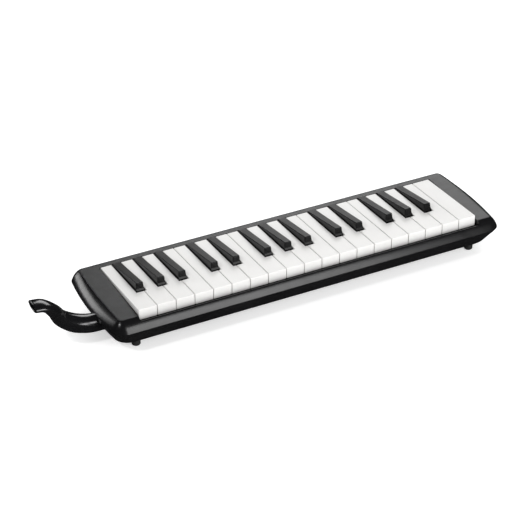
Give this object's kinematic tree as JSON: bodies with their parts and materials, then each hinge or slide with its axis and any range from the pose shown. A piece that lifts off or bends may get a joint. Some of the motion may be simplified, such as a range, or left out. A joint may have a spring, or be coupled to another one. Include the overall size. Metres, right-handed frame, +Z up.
{
  "type": "melodica",
  "caption": "Handheld free-reed keyboard wind instrument: black case, rocking white and black keys over a wind chest, push-in curved mouthpiece, drain valve and rubber feet.",
  "frame": {"origin": "on the table plane, under the middle of the overall footprint with the mouthpiece pushed in", "axes": "+X along the keyboard towards the high notes, +Y from the player's side to the rear, +Z up"},
  "size_m": [0.4862, 0.1164, 0.0615],
  "materials": {
    "white_key_plastic": "smooth gloss",
    "black_key_plastic": "satin gloss",
    "key_felt": "pressed wool felt",
    "case_plastic": "fine-textured matt",
    "mouthpiece_plastic": "smooth gloss",
    "inner_plastic": "plain moulded",
    "reed_brass": "rolled sheet",
    "soft_rubber": "soft matt",
    "steel_hardware": "plated"
  },
  "bodies": {
    "case": {"axle_clips": "steel_hardware", "black_key_felt": "key_felt", "case_screws": "steel_hardware", "chamber_cover": "inner_plastic", "chamber_gasket": "soft_rubber", "chamber_screws": "steel_hardware", "chest_screws": "steel_hardware", "drain_spring": "steel_hardware", "feet": "soft_rubber", "inlet_gasket": "soft_rubber", "lever_axle": "steel_hardware", "lever_rail": "inner_plastic", "lower_case": "case_plastic", "mouthpiece_socket": "inner_plastic", "reed_plate_high": "reed_brass", "reed_plate_low": "reed_brass", "reed_rivets": "reed_brass", "reeds_high": "reed_brass", "reeds_low": "reed_brass", "upper_case": "case_plastic", "white_key_felt": "key_felt", "wind_chest": "inner_plastic"},
    "white_key_f3_lever": {"white_key_f3": "white_key_plastic"},
    "black_key_f_sharp_3_lever": {"black_key_f_sharp_3": "black_key_plastic"},
    "white_key_g3_lever": {"white_key_g3": "white_key_plastic"},
    "black_key_g_sharp_3_lever": {"black_key_g_sharp_3": "black_key_plastic"},
    "white_key_a3_lever": {"white_key_a3": "white_key_plastic"},
    "black_key_a_sharp_3_lever": {"black_key_a_sharp_3": "black_key_plastic"},
    "white_key_b3_lever": {"white_key_b3": "white_key_plastic"},
    "white_key_c4_lever": {"white_key_c4": "white_key_plastic"},
    "black_key_c_sharp_4_lever": {"black_key_c_sharp_4": "black_key_plastic"},
    "white_key_d4_lever": {"white_key_d4": "white_key_plastic"},
    "black_key_d_sharp_4_lever": {"black_key_d_sharp_4": "black_key_plastic"},
    "white_key_e4_lever": {"white_key_e4": "white_key_plastic"},
    "white_key_f4_lever": {"white_key_f4": "white_key_plastic"},
    "black_key_f_sharp_4_lever": {"black_key_f_sharp_4": "black_key_plastic"},
    "white_key_g4_lever": {"white_key_g4": "white_key_plastic"},
    "black_key_g_sharp_4_lever": {"black_key_g_sharp_4": "black_key_plastic"},
    "white_key_a4_lever": {"white_key_a4": "white_key_plastic"},
    "black_key_a_sharp_4_lever": {"black_key_a_sharp_4": "black_key_plastic"},
    "white_key_b4_lever": {"white_key_b4": "white_key_plastic"},
    "white_key_c5_lever": {"white_key_c5": "white_key_plastic"},
    "black_key_c_sharp_5_lever": {"black_key_c_sharp_5": "black_key_plastic"},
    "white_key_d5_lever": {"white_key_d5": "white_key_plastic"},
    "black_key_d_sharp_5_lever": {"black_key_d_sharp_5": "black_key_plastic"},
    "white_key_e5_lever": {"white_key_e5": "white_key_plastic"},
    "white_key_f5_lever": {"white_key_f5": "white_key_plastic"},
    "black_key_f_sharp_5_lever": {"black_key_f_sharp_5": "black_key_plastic"},
    "white_key_g5_lever": {"white_key_g5": "white_key_plastic"},
    "black_key_g_sharp_5_lever": {"black_key_g_sharp_5": "black_key_plastic"},
    "white_key_a5_lever": {"white_key_a5": "white_key_plastic"},
    "black_key_a_sharp_5_lever": {"black_key_a_sharp_5": "black_key_plastic"},
    "white_key_b5_lever": {"white_key_b5": "white_key_plastic"},
    "white_key_c6_lever": {"white_key_c6": "white_key_plastic"},
    "mouthpiece_pull": {"mouthpiece": "mouthpiece_plastic"},
    "drain_valve": {"drain_button": "inner_plastic", "drain_seal": "soft_rubber", "drain_washer": "steel_hardware"}
  },
  "joints": [
    {"name": "white_key_f3_rock", "type": "hinge", "parent": "case", "child": "white_key_f3_lever", "pos_m": [-0.1458, 0.0076, 0.029], "axis": [1, 0, 0], "range_deg": [0, 4.57], "stiffness_Nm_per_rad": 0.1},
    {"name": "black_key_f_sharp_3_rock", "type": "hinge", "parent": "case", "child": "black_key_f_sharp_3_lever", "pos_m": [-0.13515, 0.0076, 0.029], "axis": [1, 0, 0], "range_deg": [0, 5.5], "stiffness_Nm_per_rad": 0.1},
    {"name": "white_key_g3_rock", "type": "hinge", "parent": "case", "child": "white_key_g3_lever", "pos_m": [-0.12415, 0.0076, 0.029], "axis": [1, 0, 0], "range_deg": [0, 4.57], "stiffness_Nm_per_rad": 0.1},
    {"name": "black_key_g_sharp_3_rock", "type": "hinge", "parent": "case", "child": "black_key_g_sharp_3_lever", "pos_m": [-0.11315, 0.0076, 0.029], "axis": [1, 0, 0], "range_deg": [0, 5.5], "stiffness_Nm_per_rad": 0.1},
    {"name": "white_key_a3_rock", "type": "hinge", "parent": "case", "child": "white_key_a3_lever", "pos_m": [-0.10215, 0.0076, 0.029], "axis": [1, 0, 0], "range_deg": [0, 4.57], "stiffness_Nm_per_rad": 0.1},
    {"name": "black_key_a_sharp_3_rock", "type": "hinge", "parent": "case", "child": "black_key_a_sharp_3_lever", "pos_m": [-0.09115, 0.0076, 0.029], "axis": [1, 0, 0], "range_deg": [0, 5.5], "stiffness_Nm_per_rad": 0.1},
    {"name": "white_key_b3_rock", "type": "hinge", "parent": "case", "child": "white_key_b3_lever", "pos_m": [-0.0805, 0.0076, 0.029], "axis": [1, 0, 0], "range_deg": [0, 4.57], "stiffness_Nm_per_rad": 0.1},
    {"name": "white_key_c4_rock", "type": "hinge", "parent": "case", "child": "white_key_c4_lever", "pos_m": [-0.06821, 0.0076, 0.029], "axis": [1, 0, 0], "range_deg": [0, 4.57], "stiffness_Nm_per_rad": 0.1},
    {"name": "black_key_c_sharp_4_rock", "type": "hinge", "parent": "case", "child": "black_key_c_sharp_4_lever", "pos_m": [-0.05718, 0.0076, 0.029], "axis": [1, 0, 0], "range_deg": [0, 5.5], "stiffness_Nm_per_rad": 0.1},
    {"name": "white_key_d4_rock", "type": "hinge", "parent": "case", "child": "white_key_d4_lever", "pos_m": [-0.0456, 0.0076, 0.029], "axis": [1, 0, 0], "range_deg": [0, 4.57], "stiffness_Nm_per_rad": 0.1},
    {"name": "black_key_d_sharp_4_rock", "type": "hinge", "parent": "case", "child": "black_key_d_sharp_4_lever", "pos_m": [-0.03402, 0.0076, 0.029], "axis": [1, 0, 0], "range_deg": [0, 5.5], "stiffness_Nm_per_rad": 0.1},
    {"name": "white_key_e4_rock", "type": "hinge", "parent": "case", "child": "white_key_e4_lever", "pos_m": [-0.02298, 0.0076, 0.029], "axis": [1, 0, 0], "range_deg": [0, 4.57], "stiffness_Nm_per_rad": 0.1},
    {"name": "white_key_f4_rock", "type": "hinge", "parent": "case", "child": "white_key_f4_lever", "pos_m": [-0.0107, 0.0076, 0.029], "axis": [1, 0, 0], "range_deg": [0, 4.57], "stiffness_Nm_per_rad": 0.1},
    {"name": "black_key_f_sharp_4_rock", "type": "hinge", "parent": "case", "child": "black_key_f_sharp_4_lever", "pos_m": [-0.00005, 0.0076, 0.029], "axis": [1, 0, 0], "range_deg": [0, 5.5], "stiffness_Nm_per_rad": 0.1},
    {"name": "white_key_g4_rock", "type": "hinge", "parent": "case", "child": "white_key_g4_lever", "pos_m": [0.01095, 0.0076, 0.029], "axis": [1, 0, 0], "range_deg": [0, 4.57], "stiffness_Nm_per_rad": 0.1},
    {"name": "black_key_g_sharp_4_rock", "type": "hinge", "parent": "case", "child": "black_key_g_sharp_4_lever", "pos_m": [0.02195, 0.0076, 0.029], "axis": [1, 0, 0], "range_deg": [0, 5.5], "stiffness_Nm_per_rad": 0.1},
    {"name": "white_key_a4_rock", "type": "hinge", "parent": "case", "child": "white_key_a4_lever", "pos_m": [0.03295, 0.0076, 0.029], "axis": [1, 0, 0], "range_deg": [0, 4.57], "stiffness_Nm_per_rad": 0.1},
    {"name": "black_key_a_sharp_4_rock", "type": "hinge", "parent": "case", "child": "black_key_a_sharp_4_lever", "pos_m": [0.04395, 0.0076, 0.029], "axis": [1, 0, 0], "range_deg": [0, 5.5], "stiffness_Nm_per_rad": 0.1},
    {"name": "white_key_b4_rock", "type": "hinge", "parent": "case", "child": "white_key_b4_lever", "pos_m": [0.0546, 0.0076, 0.029], "axis": [1, 0, 0], "range_deg": [0, 4.57], "stiffness_Nm_per_rad": 0.1},
    {"name": "white_key_c5_rock", "type": "hinge", "parent": "case", "child": "white_key_c5_lever", "pos_m": [0.06689, 0.0076, 0.029], "axis": [1, 0, 0], "range_deg": [0, 4.57], "stiffness_Nm_per_rad": 0.1},
    {"name": "black_key_c_sharp_5_rock", "type": "hinge", "parent": "case", "child": "black_key_c_sharp_5_lever", "pos_m": [0.07792, 0.0076, 0.029], "axis": [1, 0, 0], "range_deg": [0, 5.5], "stiffness_Nm_per_rad": 0.1},
    {"name": "white_key_d5_rock", "type": "hinge", "parent": "case", "child": "white_key_d5_lever", "pos_m": [0.0895, 0.0076, 0.029], "axis": [1, 0, 0], "range_deg": [0, 4.57], "stiffness_Nm_per_rad": 0.1},
    {"name": "black_key_d_sharp_5_rock", "type": "hinge", "parent": "case", "child": "black_key_d_sharp_5_lever", "pos_m": [0.10108, 0.0076, 0.029], "axis": [1, 0, 0], "range_deg": [0, 5.5], "stiffness_Nm_per_rad": 0.1},
    {"name": "white_key_e5_rock", "type": "hinge", "parent": "case", "child": "white_key_e5_lever", "pos_m": [0.11212, 0.0076, 0.029], "axis": [1, 0, 0], "range_deg": [0, 4.57], "stiffness_Nm_per_rad": 0.1},
    {"name": "white_key_f5_rock", "type": "hinge", "parent": "case", "child": "white_key_f5_lever", "pos_m": [0.1244, 0.0076, 0.029], "axis": [1, 0, 0], "range_deg": [0, 4.57], "stiffness_Nm_per_rad": 0.1},
    {"name": "black_key_f_sharp_5_rock", "type": "hinge", "parent": "case", "child": "black_key_f_sharp_5_lever", "pos_m": [0.13505, 0.0076, 0.029], "axis": [1, 0, 0], "range_deg": [0, 5.5], "stiffness_Nm_per_rad": 0.1},
    {"name": "white_key_g5_rock", "type": "hinge", "parent": "case", "child": "white_key_g5_lever", "pos_m": [0.14605, 0.0076, 0.029], "axis": [1, 0, 0], "range_deg": [0, 4.57], "stiffness_Nm_per_rad": 0.1},
    {"name": "black_key_g_sharp_5_rock", "type": "hinge", "parent": "case", "child": "black_key_g_sharp_5_lever", "pos_m": [0.15705, 0.0076, 0.029], "axis": [1, 0, 0], "range_deg": [0, 5.5], "stiffness_Nm_per_rad": 0.1},
    {"name": "white_key_a5_rock", "type": "hinge", "parent": "case", "child": "white_key_a5_lever", "pos_m": [0.16805, 0.0076, 0.029], "axis": [1, 0, 0], "range_deg": [0, 4.57], "stiffness_Nm_per_rad": 0.1},
    {"name": "black_key_a_sharp_5_rock", "type": "hinge", "parent": "case", "child": "black_key_a_sharp_5_lever", "pos_m": [0.17905, 0.0076, 0.029], "axis": [1, 0, 0], "range_deg": [0, 5.5], "stiffness_Nm_per_rad": 0.1},
    {"name": "white_key_b5_rock", "type": "hinge", "parent": "case", "child": "white_key_b5_lever", "pos_m": [0.1897, 0.0076, 0.029], "axis": [1, 0, 0], "range_deg": [0, 4.57], "stiffness_Nm_per_rad": 0.1},
    {"name": "white_key_c6_rock", "type": "hinge", "parent": "case", "child": "white_key_c6_lever", "pos_m": [0.2053, 0.0076, 0.029], "axis": [1, 0, 0], "range_deg": [0, 4.57], "stiffness_Nm_per_rad": 0.1},
    {"name": "mouthpiece_slide", "type": "slide", "parent": "case", "child": "mouthpiece_pull", "axis": [-1, 0, 0], "range_m": [0, 0.012]},
    {"name": "drain_press", "type": "slide", "parent": "case", "child": "drain_valve", "axis": [0, 0, 1], "range_m": [0, 0.0015], "stiffness_N_per_m": 400, "deforming": ["drain_spring"]}
  ]
}
